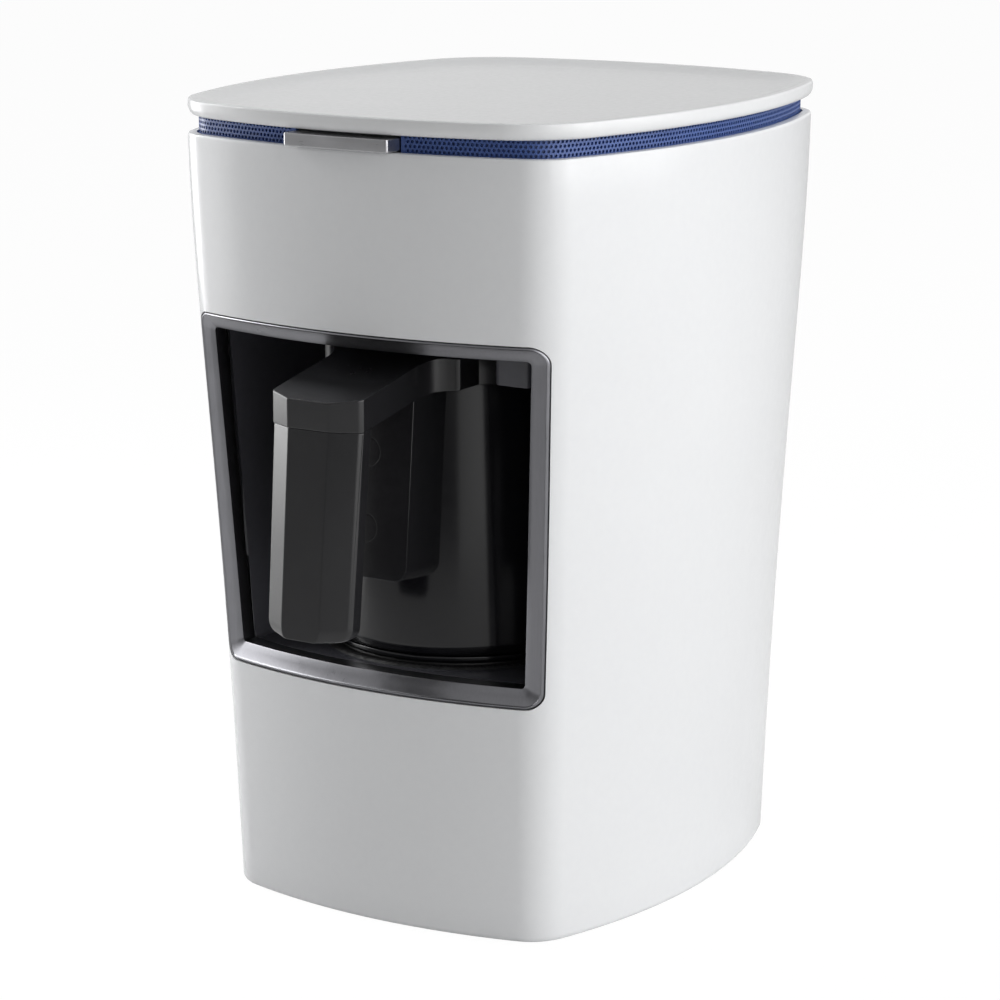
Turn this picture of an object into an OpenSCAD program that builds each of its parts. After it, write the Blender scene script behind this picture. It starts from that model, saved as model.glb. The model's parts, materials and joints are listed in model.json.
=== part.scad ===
// Electric coffee maker for one pot: a tapered housing with an open-fronted niche, a hot
// plate in the niche floor, a pot that pulls out forwards and a start key under the cover's rim.
// Millimetres, +Z up, the front faces -Y. The origin is on the table, under the middle of the whole
// machine, handle included. The modules draw in the housing's own frame, whose Z axis is its middle,
// and home() then moves every piece to the origin.

/* [Housing] */
// Overall height, from the table to the cover's rim
height = 240; // [236:1:250]
// Width of the housing at its top edge
shell_w = 156; // [150:0.2:160]
// Depth of the housing at its top edge
shell_d = 176.2; // [172:0.2:184]
// Width at the foot as a share of the width at the top
foot_share_x = 0.87; // [0.85:0.001:0.9]
// Depth at the foot as a share of the depth at the top
foot_share_y = 0.869; // [0.86:0.001:0.9]
// How much the taper curves inwards between foot and top
taper_bow = 0.28; // [0:0.01:0.4]
// How much the taper swells out again towards the top, where the walls end almost upright
taper_swell = 1; // [0:0.05:1.1]
// How far the side walls bow outwards
side_bow = 11.2; // [8:0.2:12]
// How far the front and back walls bow outwards
front_bow = 6.6; // [5:0.2:8]
// Radius of the four upright corners
corner_r = 17.2; // [15:0.2:20]
// Wall thickness of the housing
shell_wall = 2.6; // [2.2:0.1:3]

/* [Cover and vent band] */
// Width of the top cover
cover_w = 157.2; // [152:0.2:160]
// Depth of the top cover
cover_d = 180.6; // [178:0.2:184]
// Corner radius of the top cover
cover_r = 29.4; // [24:0.2:30]
// How far the cover's side walls bow outwards
cover_bow = 8.4; // [6:0.2:10]
// Height of the perforated band between housing and cover
band_h = 5.1; // [4.4:0.1:5.4]
// How far the band stands back from the housing's surface
band_inset = 3.3; // [3.1:0.1:4]

/* [Niche] */
// Half width of the frame's outer edge at the top
frame_top_x = 60.5; // [58:0.1:61]
// Half width of the frame's outer edge at the bottom
frame_foot_x = 55.5; // [54:0.1:56.4]
// Height of the frame's lower outer edge
frame_z0 = 71.9; // [71:0.1:72.4]
// Height of the frame's upper outer edge
frame_z1 = 177.7; // [175:0.1:178]
// Width of the frame's side bars
frame_bar = 5.8; // [5.2:0.1:6]
// Height of the frame's lower bar
frame_sill = 5.4; // [5.2:0.1:5.6]
// Height of the frame's upper bar
frame_head = 4.5; // [4.3:0.1:4.8]
// Depth by which the bars slope back towards the niche
frame_slope = 3; // [2:0.1:3.4]
// Where the niche's back wall stands
niche_back = 22; // [20:1:24]

/* [Pot] */
// Radius of the pot at its foot
pot_r = 41; // [40:0.2:41.4]
// Height of the hot plate's surface, on which the pot stands
plate_z = 78; // [77.6:0.1:78.4]
// Distance of the pot's axis from the middle, towards the front
pot_y = -25.5; // [-26:0.5:-24]
// Lean of the handle's two legs
leg_lean = 5.3; // [4:0.1:6]

/* [Start key] */
// Half width of the start button
key_x = 17.6; // [17:0.1:18]
// Height of the start button
key_h = 3.8; // [3.6:0.1:4.4]
// Travel of the start button
key_travel = 2; // [1:0.1:2]

/* [Hidden] */
$fn = 64;
shell_top = height - 9.8;
shell_foot = 0.4;
cover_z = shell_top + band_h;
lip = 0.4;              // how far the niche's walls stand outside the frame's inner edge
niche_z0 = frame_z0 + frame_sill - lip;
niche_z1 = frame_z1 - frame_head + lip;
liner_t = 2;
floor_under = niche_z0 - liner_t;
pilot_r = 1.25;         // hole that a 3 mm self-tapping screw cuts into
shank_r = 1.2;
clear_r = 1.7;
head_r = 2.8;
head_h = 2;
fit_gap = 0.3;          // between neighbouring walls that only pass each other
flange_z = shell_top - 8.8;
flange_t = 2.4;
key_z = shell_top + fit_gap;
switch_z = key_z - 0.5;

// ---- the bowed outline and the taper that every wall follows ----

function mixed(a, b, t) = a + (b - a) * t;
function bow_radius(half, bow) = (half * half + bow * bow) / (2 * bow);
function arc_points(c, r, a0, a1, n) =
    [for (i = [0:n - 1]) c + r * [cos(mixed(a0, a1, i / n)), sin(mixed(a0, a1, i / n))]];

// Points of a rectangle whose four sides are shallow arcs and whose corners are round, moved
// inwards by inset. It starts at the front left and runs anticlockwise.
function outline(w, d, r, bow_x, bow_y, inset, n_side = 8, n_corner = 6) =
    let (cx = w / 2 - r - bow_x, cy = d / 2 - r - bow_y,
         rx = bow_radius(cy, bow_x), ry = bow_radius(cx, bow_y),
         ts = asin(cy / rx), tf = asin(cx / ry), q = r - inset,
         mx = cx + bow_x - rx, my = cy + bow_y - ry)
    concat(
        arc_points([0, -my], ry + q, -90 - tf, -90 + tf, n_side),
        arc_points([cx, -cy], q, -90 + tf, -ts, n_corner),
        arc_points([mx, 0], rx + q, -ts, ts, n_side),
        arc_points([cx, cy], q, ts, 90 - tf, n_corner),
        arc_points([0, my], ry + q, 90 - tf, 90 + tf, n_side),
        arc_points([-cx, cy], q, 90 + tf, 180 - ts, n_corner),
        arc_points([-mx, 0], rx + q, 180 - ts, 180 + ts, n_side),
        arc_points([-cx, -cy], q, 180 + ts, 270 - tf, n_corner));

function taper_at(z) =
    let (h = z / shell_top, g = h + h * (1 - h) * (taper_swell * h * h * h - taper_bow))
    [mixed(foot_share_x, 1, g), mixed(foot_share_y, 1, g)];
function shell_ring(z, inset) =
    let (s = taper_at(z))
    [for (p = outline(shell_w, shell_d, corner_r, side_bow, front_bow, inset))
        [p.x * s.x, p.y * s.y, z]];
function cover_ring(z, inset) =
    [for (p = outline(cover_w, cover_d, cover_r, cover_bow, 5.4, inset)) [p.x, p.y, z]];

// Y of the housing's front surface at a place across it and a height
function front_y(x, z) =
    let (s = taper_at(z), u = abs(x) / s.x,
         cx = shell_w / 2 - corner_r - side_bow, cy = shell_d / 2 - corner_r - front_bow,
         ry = bow_radius(cx, front_bow), rr = ry + corner_r, edge = rr * cx / ry,
         y = u < edge ? cy + front_bow - ry + sqrt(rr * rr - u * u)
                      : cy + sqrt(max(0, corner_r * corner_r - (u - cx) * (u - cx))))
    -y * s.y;

// Skins a stack of equally long rings of points. A closed stack joins its last ring to its
// first, which makes a tube wall; an open one gets a flat cap at each end.
module loft(rings, closed = false) {
    n = len(rings[0]);
    m = len(rings);
    bands = closed ? m : m - 1;
    sides = [for (k = [0:bands - 1], i = [0:n - 1])
        let (a = k * n, b = ((k + 1) % m) * n, j = (i + 1) % n)
        each [[a + i, b + i, b + j], [a + i, b + j, a + j]]];
    caps = closed ? [] : [[for (i = [0:n - 1]) i], [for (i = [n - 1:-1:0]) (m - 1) * n + i]];
    polyhedron(points = [for (r = rings) each r], faces = concat(sides, caps));
}

// A wall that follows the housing's taper between two heights and two insets
module tapered_ring(z0, z1, inset_out, inset_in) {
    loft([shell_ring(z0, inset_out), shell_ring(z1, inset_out),
          shell_ring(z1, inset_in), shell_ring(z0, inset_in)], closed = true);
}

// ---- small repeated shapes ----

// From the housing's own frame to the origin under the middle of the whole machine
module home() {
    translate([0, -(handle_front + cover_d / 2) / 2, 0]) children();
}

// A screw that points up, its head's top face at z = 0 and its shank above
module screw(length, r = shank_r, head = head_r) {
    difference() {
        union() {
            translate([0, 0, -head_h]) cylinder(r = head, h = head_h, $fn = 32);
            cylinder(r = r, h = length, $fn = 32);
        }
        for (a = [0, 90]) rotate(a) translate([-1.6, -0.3, -head_h - 1]) cube([3.2, 0.6, 2]);
    }
}

module at_corners(x, y) {
    for (sx = [-1, 1], sy = [-1, 1]) translate([sx * x, sy * y, 0]) children();
}

// A slab standing in the XZ plane, from y0 to y1
module wall_y(y0, y1) {
    translate([0, y1, 0]) rotate([90, 0, 0]) linear_extrude(y1 - y0) children();
}

// A slab in the YZ plane, drawn with x = Y and y = Z, from -half to half across
module wall_x(half) {
    rotate([90, 0, 90]) translate([0, 0, -half]) linear_extrude(2 * half) children();
}

module rod_y(r, y0, y1, n = 48) {
    translate([0, y1, 0]) rotate([90, 0, 0]) cylinder(r = r, h = y1 - y0, $fn = n);
}

// A round wire along a list of points, its ends cut square to its first and last stretch
module wire(points, d) {
    last = len(points) - 1;
    sides = 8;
    function heading(i) =
        let (v = points[min(i + 1, last)] - points[max(i - 1, 0)]) v / norm(v);
    function ring_at(i) =
        let (t = heading(i), side = [1, 0, 0] - t * t.x, u = side / norm(side), w = cross(t, u))
        [for (k = [0:sides - 1]) points[i] + d / 2 * (cos(k * 360 / sides) * u
            + sin(k * 360 / sides) * w)];
    loft([for (i = [0:last]) ring_at(i)]);
}

// A smooth way between two ends that leaves and arrives upright
function upright_way(a, b, drop_a, drop_b, steps = 14) =
    let (p = a + [0, 0, drop_a], q = b + [0, 0, drop_b])
    concat([a], [for (i = [0:steps]) let (t = i / steps, s = 1 - t)
        s * s * s * mixed(a, p, 0.5) + 3 * s * s * t * p + 3 * s * t * t * q
        + t * t * t * mixed(b, q, 0.5)], [b]);

// ---- housing ----

base_boss = [48.4, 61.6];
tray_boss = [53.4, 67.9];
post = [56, 22];
post_y = -8;
foot_at = [36, 48];
frame_r = 4.8;
gland_z = 24;
gland_hole_r = 7.2;
gland_face_y = 78;
gland_pad = 4;
foot_rise = 1.2;
plate_t = 3;
plate_z0 = 1.7;
plate_top = plate_z0 + plate_t;

module shell_skin() {
    levels = [shell_foot + 1.6, 30, 60, 90, 120, 150, 175, 195, 213, shell_top - 0.6];
    loft(concat(
        [shell_ring(shell_foot, 1.2), shell_ring(shell_foot + 0.5, 0.4)],
        [for (z = levels) shell_ring(z, 0)],
        [shell_ring(shell_top, 0.6), shell_ring(shell_top, shell_wall)],
        [for (i = [len(levels) - 1:-1:0]) shell_ring(levels[i], shell_wall)],
        [shell_ring(shell_foot, shell_wall)]), closed = true);
}

// Upright screw boss tied to the nearest corner wall by a rib
module corner_boss(at, z0, z1, reach, pilot_from, pilot_to) {
    difference() {
        translate([0, 0, z0]) linear_extrude(z1 - z0) union() {
            translate(at) circle(r = 5);
            translate(at) rotate(atan2(at.y, at.x) - 4) translate([0, -2]) square([reach, 4]);
        }
        translate([at.x, at.y, pilot_from]) cylinder(r = pilot_r, h = pilot_to - pilot_from);
    }
}

module frame_outline(grow) {
    polygon(frame_edge(frame_foot_x + grow, frame_top_x + grow, frame_z0 - grow, frame_z1 + grow,
        frame_r + grow));
}

module outer_shell() {
    color("white") home() difference() {
        union() {
            shell_skin();
            for (sx = [0, 1], sy = [0, 1]) mirror([sx, 0, 0]) mirror([0, sy, 0]) {
                corner_boss(base_boss, plate_top, 22, 5.8, plate_top - 1, 18);
                corner_boss(tray_boss, flange_z - 16, flange_z, 9.2, flange_z - 13, flange_z + 1);
            }
            translate([0, 0, gland_z]) rod_y(11, gland_face_y - gland_pad, gland_face_y);
        }
        wall_y(-shell_d / 2 - 4, -40) frame_outline(0.35);
        translate([0, 0, gland_z]) rod_y(gland_hole_r, 60, shell_d / 2);
    }
}

module base_plate() {
    recess_r = head_r + 0.2;
    color("dimgray") home() difference() {
        union() {
            loft([shell_ring(plate_z0, shell_wall + fit_gap),
                shell_ring(plate_top, shell_wall + fit_gap)]);
            translate([0, post_y, 0]) at_corners(post.x, post.y)
                translate([0, 0, plate_top - 0.5]) cylinder(r = 4.2, h = floor_under - plate_top + 0.5);
        }
        at_corners(foot_at.x, foot_at.y) cylinder(r = 7.1, h = plate_z0 + foot_rise);
        at_corners(base_boss.x, base_boss.y) {
            cylinder(r = clear_r, h = 10, $fn = 32);
            cylinder(r = recess_r, h = plate_z0 + 1.4, $fn = 32);
        }
        translate([0, post_y, 0]) at_corners(post.x, post.y) {
            cylinder(r = recess_r, h = floor_under - 4);
            cylinder(r = clear_r, h = floor_under + 1);
        }
        for (x = [-24:8:24]) translate([x - 1.5, -20, 0]) cube([3, 36, 10]);
    }
}

module rubber_feet() {
    color("black") home() at_corners(foot_at.x, foot_at.y) rotate_extrude()
        polygon([[0, 0], [5.6, 0], [6.4, 0.4], [7, 1.4], [7, plate_z0 + foot_rise],
            [0, plate_z0 + foot_rise]]);
}

module base_screws() {
    color("silver") home() at_corners(base_boss.x, base_boss.y)
        translate([0, 0, plate_z0 + 1.4]) screw(13);
}

module liner_screws() {
    color("silver") home() translate([0, post_y, 0]) at_corners(post.x, post.y)
        translate([0, 0, floor_under - 4]) screw(12);
}

// ---- top: tray, band and cover ----

// Room for the start key in whatever stands above the flange at the front
module key_gap() {
    translate([-key_x - fit_gap, -shell_d, flange_z + flange_t + 1.6])
        cube([2 * (key_x + fit_gap), shell_d / 2 + 20, 12]);
}

// Windows behind the perforated band, which let the warm air out at the back and the sides
module vent_windows() {
    z = shell_top + 0.6;
    for (x = [-34, 0, 34]) translate([x - 12, 40, z]) cube([24, 60, 3]);
    for (y = [-34, 0, 34]) translate([-90, y - 12, z]) cube([180, 24, 3]);
}

module top_tray() {
    color("dimgray") home() difference() {
        union() {
            tapered_ring(flange_z, flange_z + flange_t, shell_wall + fit_gap, 15.8);
            tapered_ring(flange_z + 1, cover_z, band_inset + 1.4, band_inset + 3.4);
        }
        key_gap();
        at_corners(tray_boss.x, tray_boss.y) translate([0, 0, flange_z - 1])
            cylinder(r = clear_r, h = 5, $fn = 32);
        for (x = [-24, 24]) translate([x, bracket_screw_y, flange_z - 1])
            cylinder(r = pilot_r, h = 5, $fn = 32);
        vent_windows();
    }
}

module tray_screws() {
    color("silver") home() at_corners(tray_boss.x, tray_boss.y)
        translate([0, 0, flange_z + flange_t]) mirror([0, 0, 1]) screw(12);
}

module vent_band() {
    color("royalblue") home() difference() {
        tapered_ring(flange_z + flange_t, cover_z, band_inset, band_inset + 1.2);
        key_gap();
    }
}

module top_cover() {
    dish = 2;
    color("white") home() union() {
        loft([cover_ring(cover_z, 1.6), cover_ring(cover_z + 1, 0.5), cover_ring(cover_z + 2.6, 0),
            cover_ring(height - 0.8, 0), cover_ring(height - 0.2, 0.3), cover_ring(height, 1),
            cover_ring(height, 2.4), cover_ring(height - dish, 12)]);
        difference() {
            tapered_ring(cover_z - 3.4, cover_z + 0.6, band_inset + 3.6, band_inset + 5.2);
            translate([-20, -shell_d, cover_z - 6]) cube([40, shell_d, 6]);
            vent_windows();
        }
    }
}

// ---- front frame and niche ----

// Matching points of the frame's outer and inner edges in the XZ plane, anticlockwise
function frame_edge(half_foot, half_top, z0, z1, r, n = 8) =
    let (slope = (half_top - half_foot) / (z1 - z0),
         side = function (z) half_foot + slope * (z - z0),
         low = z0 + r, high = z1 - r, xl = side(low) - r, xh = side(high) - r)
    concat(
        [for (i = [0:n - 1]) [mixed(-xl, xl, i / n), z0]],
        arc_points([xl, low], r, -90, 0, n),
        [for (i = [0:n - 1]) let (z = mixed(low, high, i / n)) [side(z), z]],
        arc_points([xh, high], r, 0, 90, n),
        [for (i = [0:n - 1]) [mixed(xh, -xh, i / n), z1]],
        arc_points([-xh, high], r, 90, 180, n),
        [for (i = [0:n - 1]) let (z = mixed(high, low, i / n)) [-side(z), z]],
        arc_points([-xl, low], r, 180, 270, n));

frame_depth = 8;

module front_frame() {
    outer = frame_edge(frame_foot_x, frame_top_x, frame_z0, frame_z1, frame_r);
    inner = frame_edge(frame_foot_x - frame_bar, frame_top_x - frame_bar,
        frame_z0 + frame_sill, frame_z1 - frame_head, 1.5);
    function bar_ring(share, depth) =
        [for (i = [0:len(outer) - 1]) let (p = mixed(outer[i], inner[i], share))
            [p.x, front_y(p.x, p.y) + depth, p.y]];
    color("gray") home() loft([bar_ring(0, 0.3), bar_ring(0.1, 0), bar_ring(0.16, 0.5),
        bar_ring(1, frame_slope), bar_ring(1, frame_depth), bar_ring(0, frame_depth)], closed = true);
}

function niche_half(z) =
    mixed(frame_foot_x, frame_top_x, (z - frame_z0) / (frame_z1 - frame_z0)) - frame_bar + lip;

module niche_section(grow) {
    r = 2 + grow;
    hull() for (s = [-1, 1]) {
        translate([s * (niche_half(niche_z0) + grow - r), niche_z0 - grow + r]) circle(r = r, $fn = 32);
        translate([s * (niche_half(niche_z1) + grow - r), niche_z1 + grow - r]) circle(r = r, $fn = 32);
    }
}

// What lies behind the frame: a leaning drum whose front follows the housing's front wall
module behind_frame() {
    drum_r = 160;
    z0 = niche_z0;
    z1 = niche_z1;
    lean = atan2(front_y(0, z0) - front_y(0, z1), z1 - z0);
    translate([0, front_y(0, z0) + frame_depth + 0.4, z0]) rotate([lean, 0, 0])
        translate([0, drum_r, -60]) cylinder(r = drum_r, h = 240, $fn = 128);
}

heater_lug = 49;

module at_lugs() {
    for (a = [45:90:315]) translate([heater_lug * cos(a), pot_y + heater_lug * sin(a), 0]) children();
}

standoff = [32, 33];
board_z = 125;
board_y = 32;

module at_standoffs() {
    for (sx = [-1, 1], sz = [-1, 1])
        translate([sx * standoff.x, 0, board_z + sz * standoff.y]) children();
}

module niche_liner() {
    ear_half = niche_half(niche_z0) + 1;
    color("black") home() difference() {
        intersection() {
            union() {
                wall_y(-90, niche_back + liner_t) niche_section(liner_t);
                translate([0, post_y, 0]) at_corners(post.x, post.y) {
                    translate([0, 0, floor_under]) cylinder(r = 4.2, h = 10);
                }
                for (s = [-1, 1], t = [-1, 1])
                    translate([s * (ear_half + 2.5) - 2.5, post_y + t * post.y - 4.2, floor_under])
                        cube([5, 8.4, 10]);
                at_lugs() translate([0, 0, floor_under - 4.6]) cylinder(r = 3.6, h = 5.6, $fn = 32);
                at_standoffs() rod_y(3.4, niche_back + 1, board_y, 32);
                at_pegs() {
                    translate([0, 0, roof_z - 1]) cylinder(r = 2.4, h = 5, $fn = 32);
                    translate([0, 0, roof_z]) cylinder(r = peg_r, h = 6.4, $fn = 32);
                }
            }
            behind_frame();
        }
        wall_y(-95, niche_back) niche_section(0);
        translate([0, pot_y, floor_under - 1]) cylinder(r = 42.4, h = liner_t + 2);
        translate([0, post_y, 0]) at_corners(post.x, post.y) translate([0, 0, floor_under - 1])
            cylinder(r = pilot_r, h = 10, $fn = 32);
        at_lugs() translate([0, 0, floor_under - 6]) cylinder(r = pilot_r, h = 7, $fn = 32);
        at_standoffs() rod_y(pilot_r, niche_back + liner_t + 1, board_y + 1, 32);
        translate([pod_mid.x, pod_mid.y, niche_z1 - 1]) cylinder(r = pod_hole_r, h = 5, $fn = 32);
    }
}

// ---- heater under the niche floor ----

plate_r = 38.5;
flange_r = 44.4;
flange_top = floor_under - 2.6;
flange_bottom = flange_top - 2;
pan_floor = flange_bottom - 15.2;
ring_r = 27;
tube_r = 3.4;
lead_angle = 25;
terminal_z = pan_floor - 6;

module heater_plate() {
    color("dimgray") home() translate([0, pot_y, 0]) rotate_extrude($fn = 96) polygon([
        [0, flange_bottom], [flange_r, flange_bottom], [flange_r, flange_top],
        [plate_r, flange_top], [plate_r, plate_z - 0.6], [plate_r - 0.6, plate_z], [0, plate_z]]);
}

module heater_seal() {
    color("black") home() translate([0, pot_y, 0]) rotate_extrude($fn = 96) polygon([
        [plate_r + 0.1, flange_top], [flange_r, flange_top], [flange_r, floor_under],
        [42.2, floor_under], [42.2, niche_z0 + 0.4], [plate_r + 0.1, niche_z0 + 0.4]]);
}

module at_leads() {
    for (s = [-1, 1]) translate([s * ring_r * sin(lead_angle), pot_y + ring_r * cos(lead_angle), 0])
        children();
}

module heating_element() {
    z = flange_bottom - tube_r;
    color("slategray") home() union() {
        translate([0, pot_y, z]) rotate(90 + lead_angle) rotate_extrude(angle = 360 - 2 * lead_angle)
            translate([ring_r, 0]) circle(r = tube_r, $fn = 32);
        at_leads() translate([0, 0, z - 2.6]) cylinder(r = 2.6, h = 5.2, $fn = 32);
        at_leads() translate([0, 0, terminal_z]) cylinder(r = 1.4, h = z - terminal_z, $fn = 32);
    }
}

module heater_pan() {
    t = 0.8;
    rim_r = 41;
    color("silver") home() difference() {
        union() {
            translate([0, pot_y, 0]) rotate_extrude($fn = 96) polygon([
                [0, pan_floor], [rim_r, pan_floor], [rim_r, flange_bottom - 1.2],
                [45.6, flange_bottom - 1.2], [45.6, flange_bottom], [rim_r - t, flange_bottom],
                [rim_r - t, pan_floor + t], [0, pan_floor + t]]);
            at_lugs() translate([0, 0, flange_bottom - 1.2]) cylinder(r = 4.6, h = 1.2, $fn = 32);
        }
        at_lugs() translate([0, 0, flange_bottom - 3]) cylinder(r = clear_r, h = 5, $fn = 32);
        at_leads() translate([0, 0, pan_floor - 1]) cylinder(r = 3, h = 3, $fn = 32);
        translate([0, pot_y, pan_floor - 1]) cylinder(r = 5.2, h = 3, $fn = 48);
    }
}

module heater_screws() {
    color("silver") home() at_lugs() translate([0, 0, flange_bottom - 1.2]) screw(6.6);
}

module insulation_pad() {
    pad_h = 4;
    color("wheat") home() difference() {
        translate([0, pot_y, pan_floor + 0.8]) cylinder(r = 39.8, h = pad_h, $fn = 96);
        translate([0, pot_y, pan_floor]) cylinder(r = 5.6, h = 9, $fn = 48);
        at_leads() translate([0, 0, pan_floor]) cylinder(r = 3.2, h = 9, $fn = 32);
    }
}

module temperature_sensor() {
    color("darkgray") home() translate([0, pot_y, 0]) union() {
        translate([0, 0, pan_floor - 5]) cylinder(r = 4.2, h = flange_bottom - pan_floor + 5, $fn = 48);
        translate([0, 0, pan_floor - 2]) cylinder(r = 7.5, h = 2, $fn = 48);
    }
}

module thermal_cutout() {
    color("black") home() translate([22, pot_y, 0]) union() {
        translate([0, 0, pan_floor - 6]) cylinder(r = 8, h = 6, $fn = 48);
        for (s = [-1, 1]) translate([s * 4 - 0.4, -3, pan_floor - 14]) cube([0.8, 6, 8.5]);
    }
}

// ---- foam sensor in the niche's ceiling ----

roof_z = niche_z1 + liner_t;
pod = [[38.5, -68.5, 164.2], [50, -50, niche_z1]];
pod_mid = (pod[0] + pod[1]) / 2;
pod_hole_r = 2;
lens_r = 2.4;
lens_depth = 3;
peg_r = 1.1;

module at_pegs() {
    for (x = [34, 50]) translate([x, -50, 0]) children();
}

module along_x(r, x0, x1) {
    translate([x0, pod_mid.y, pod_mid.z]) rotate([0, 90, 0]) cylinder(r = r, h = x1 - x0, $fn = 32);
}

module sensor_housing() {
    r = 1.6;
    color("black") home() difference() {
        translate([0, 0, pod[0].z]) linear_extrude(pod[1].z - pod[0].z) hull()
            for (x = [pod[0].x + r, pod[1].x - r], y = [pod[0].y + r, pod[1].y - r])
                translate([x, y]) circle(r = r, $fn = 32);
        along_x(lens_r + 0.1, pod[0].x - 1, pod[0].x + lens_depth);
        translate([pod_mid.x, pod_mid.y, pod_mid.z]) cylinder(r = pod_hole_r, h = 9, $fn = 32);
    }
}

module sensor_lens() {
    color("darkred") home() along_x(lens_r, pod[0].x - 0.2, pod[0].x + lens_depth);
}

module sensor_board() {
    color("darkgreen") home() difference() {
        translate([27, -66, roof_z + 4]) cube([30, 22, board_t]);
        at_pegs() translate([0, 0, roof_z]) cylinder(r = peg_r + 0.1, h = 9, $fn = 32);
    }
}

// ---- electronics behind the niche ----

board_t = 1.6;
board_w = 76;
board_h = 78;
parts_y = board_y + board_t;

module power_board() {
    color("darkgreen") home() difference() {
        translate([-board_w / 2, board_y, board_z - board_h / 2]) cube([board_w, board_t, board_h]);
        at_standoffs() rod_y(clear_r, board_y - 1, parts_y + 1, 32);
    }
}

module board_screws() {
    color("silver") home() at_standoffs() translate([0, parts_y, 0]) rotate([90, 0, 0]) screw(7);
}

module transformer() {
    color("goldenrod") home() union() {
        translate([-26, parts_y, 112]) cube([26, 5, 24]);
        translate([-22, parts_y + 5, 112]) cube([18, 12, 24]);
        translate([-26, parts_y + 17, 112]) cube([26, 5, 24]);
    }
}

module relay() {
    color("royalblue") home() translate([6, parts_y, 112]) cube([15.5, 15.5, 19]);
}

module capacitors() {
    color("dimgray") home() for (x = [-14, 2, 16])
        translate([x, 0, 146]) rod_y(6, parts_y, parts_y + 14, 32);
}

board_foot = board_z - board_h / 2;
board_head = board_z + board_h / 2;

module board_connectors() {
    color("ivory") home() union() {
        for (s = [-1, 1]) translate([s * 18 - 9, parts_y, board_foot]) cube([18, 9, 9]);
        for (s = [-1, 1]) translate([s * 10 - 6, parts_y, board_head - 8]) cube([12, 7, 8]);
    }
}

module terminal_block() {
    color("white") home() difference() {
        translate([-18, 42, plate_top]) cube([36, 13, 14]);
        for (x = [-10, 0, 10]) translate([x, 46, plate_top + 6]) cylinder(r = 2, h = 12, $fn = 32);
    }
}

// ---- mains cord entry ----

gland_bore_r = 3.5;
gland_y0 = 62;

module cord_gland() {
    color("black") home() translate([0, 0, gland_z]) rotate([-90, 0, 0]) rotate_extrude() polygon([
        [gland_bore_r, gland_y0], [6.9, gland_y0], [6.9, gland_face_y], [9.8, gland_face_y],
        [9.8, gland_face_y + 1.2], [9, gland_face_y + 2], [gland_bore_r, gland_face_y + 2]]);
}

module gland_nut() {
    nut_y = gland_face_y - gland_pad - 4.6;
    color("black") home() translate([0, 0, gland_z]) difference() {
        rod_y(10, nut_y, nut_y + 4.6, 6);
        rod_y(7, nut_y - 1, nut_y + 6);
    }
}

// ---- start key ----

slide_z0 = flange_z + flange_t + 1.9;
slide_z1 = cover_z - 0.8;
slide_front = -82.5;
slide_back = -64;
guide_x = 14.3;
wall_front = -50;
plunger_r = 1.6;
plunger_end = slide_back + 7.4;
bracket_screw_y = -74.6;
board_screw_x = 17;

module key_bracket() {
    deck = flange_z + flange_t;
    color("gray") home() difference() {
        union() {
            translate([-28, -77.5, deck]) cube([56, 23.5, 1.6]);
            for (s = [0, 1]) mirror([s, 0, 0]) {
                translate([guide_x, -78, deck + 1.4]) cube([2, 11.6, cover_z - 1 - deck - 1.4]);
                translate([22.5, -55, deck - 20]) cube([2, 7, 30]);
            }
            translate([-24.5, wall_front, deck - 20]) cube([49, 2, 30]);
        }
        for (x = [-24, 24]) translate([x, bracket_screw_y, deck - 1])
            cylinder(r = clear_r, h = 5, $fn = 32);
        for (s = [-1, 1]) translate([s * board_screw_x, 0, deck - 14])
            rod_y(pilot_r, wall_front - 1, wall_front + 3, 32);
    }
}

module key_board() {
    deck = flange_z + flange_t;
    color("darkgreen") home() difference() {
        translate([-21, wall_front - board_t, deck - 18]) cube([42, board_t, 27]);
        for (s = [-1, 1]) translate([s * board_screw_x, 0, deck - 14])
            rod_y(clear_r, wall_front - 3, wall_front + 1, 32);
    }
}

module key_screws() {
    deck = flange_z + flange_t;
    color("silver") home() union() {
        for (x = [-24, 24]) translate([x, bracket_screw_y, deck + 1.6]) mirror([0, 0, 1]) screw(3.8);
        for (s = [-1, 1]) translate([s * board_screw_x, wall_front - board_t, deck - 14])
            rotate([-90, 0, 0]) screw(3.4);
    }
}

module push_switch() {
    size = 8;
    body_front = wall_front - board_t - size;
    color("black") home() difference() {
        translate([-size / 2, body_front, switch_z - size / 2]) cube(size);
        translate([0, 0, switch_z])
            rod_y(plunger_r + 0.05, body_front - 1, plunger_end + key_travel + fit_gap);
    }
}

module buzzer() {
    deck = flange_z + flange_t;
    color("black") home() translate([-9, 0, deck - 10]) difference() {
        rod_y(6, wall_front - board_t - 7, wall_front - board_t);
        rod_y(1, wall_front - board_t - 8, wall_front - board_t - 4, 32);
    }
}

module start_button() {
    r = 0.8;
    depth = 8.6;
    color("silver") home() translate([0, slide_front - depth, key_z])
        linear_extrude(key_h) hull() {
            for (s = [-1, 1]) translate([s * (key_x - r), r + 0.4]) circle(r = r, $fn = 32);
            translate([-key_x, depth - 1]) square([2 * key_x, 1]);
            translate([-4, 0]) square([8, 1]);
        }
}

module key_slider() {
    color("dimgray") home() union() {
        translate([-guide_x + 0.3, slide_front, slide_z0])
            cube([2 * guide_x - 0.6, slide_back - slide_front, slide_z1 - slide_z0]);
        translate([-guide_x - 3, slide_back - 2, slide_z0])
            cube([2 * guide_x + 6, 2, slide_z1 - slide_z0]);
    }
}

module switch_plunger() {
    color("ivory") home() translate([0, 0, switch_z]) rod_y(plunger_r, slide_back, plunger_end);
}

// ---- wires ----

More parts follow.
